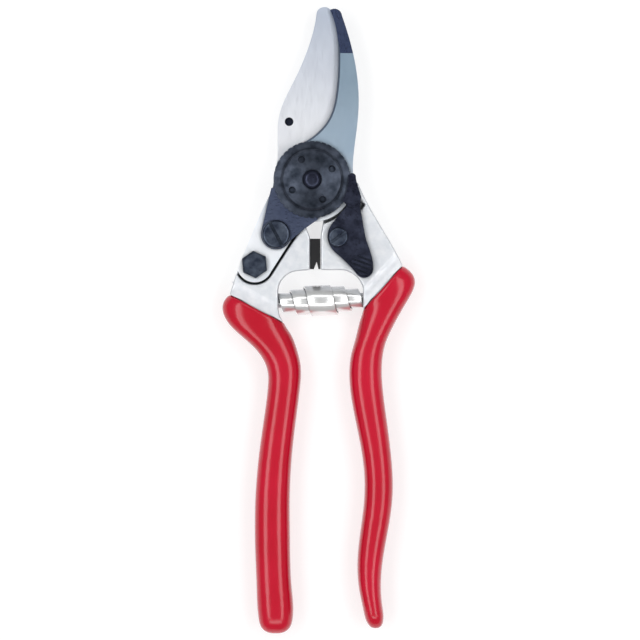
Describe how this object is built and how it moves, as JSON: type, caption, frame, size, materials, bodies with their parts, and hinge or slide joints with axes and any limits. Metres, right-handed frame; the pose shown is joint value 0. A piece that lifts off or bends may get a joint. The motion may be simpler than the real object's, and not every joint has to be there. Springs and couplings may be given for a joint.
{
  "type": "pruning shears",
  "caption": "One-hand bypass pruning shears with a hooked counter-blade, a volute return spring, a toothed pivot nut and a thumb catch.",
  "frame": {"origin": "on the pivot axis, in the plane of the bolt head's flat back, which is also the plane the shears rest on", "axes": "+Y towards the blade tips, +X towards the thumb catch side, +Z out of the front (nut) face along the pivot axis"},
  "size_m": [0.0603, 0.1956, 0.0167],
  "materials": {
    "forged_aluminium": "tumbled satin forging",
    "red_vinyl": "smooth glossy dipped coating",
    "blade_steel": "fine ground, hardened",
    "hook_steel": "ground, bluish grey",
    "black_steel": "blackened, semi-gloss",
    "spring_steel": "polished",
    "buffer_rubber": "matte black",
    "bush_bronze": "machined"
  },
  "bodies": {
    "hook_side": {"left_handle": "forged_aluminium", "left_grip": "red_vinyl", "hook_blade": "hook_steel", "hook_screw": "black_steel", "toothed_segment": "black_steel", "segment_screw": "black_steel", "pivot_bolt": "black_steel", "pivot_nut": "black_steel", "buffer": "buffer_rubber", "left_spring_stud": "spring_steel", "volute_spring": "spring_steel"},
    "blade_side": {"right_handle": "forged_aluminium", "right_grip": "red_vinyl", "cutting_blade": "blade_steel", "bearing_bush": "bush_bronze", "blade_screws": "black_steel", "catch_screw": "black_steel", "right_spring_stud": "spring_steel"},
    "catch": {"thumb_catch": "black_steel"}
  },
  "joints": [
    {"name": "shear_pivot", "type": "hinge", "parent": "hook_side", "child": "blade_side", "pos_m": [0, 0, 0.0065], "axis": [0, 0, 1], "range_deg": [0, 24], "deforming": ["volute_spring"]},
    {"name": "catch_turn", "type": "hinge", "parent": "blade_side", "child": "catch", "pos_m": [0.0081, -0.0179, 0.013], "axis": [0, 0, 1], "range_deg": [-14, 3.5]}
  ]
}
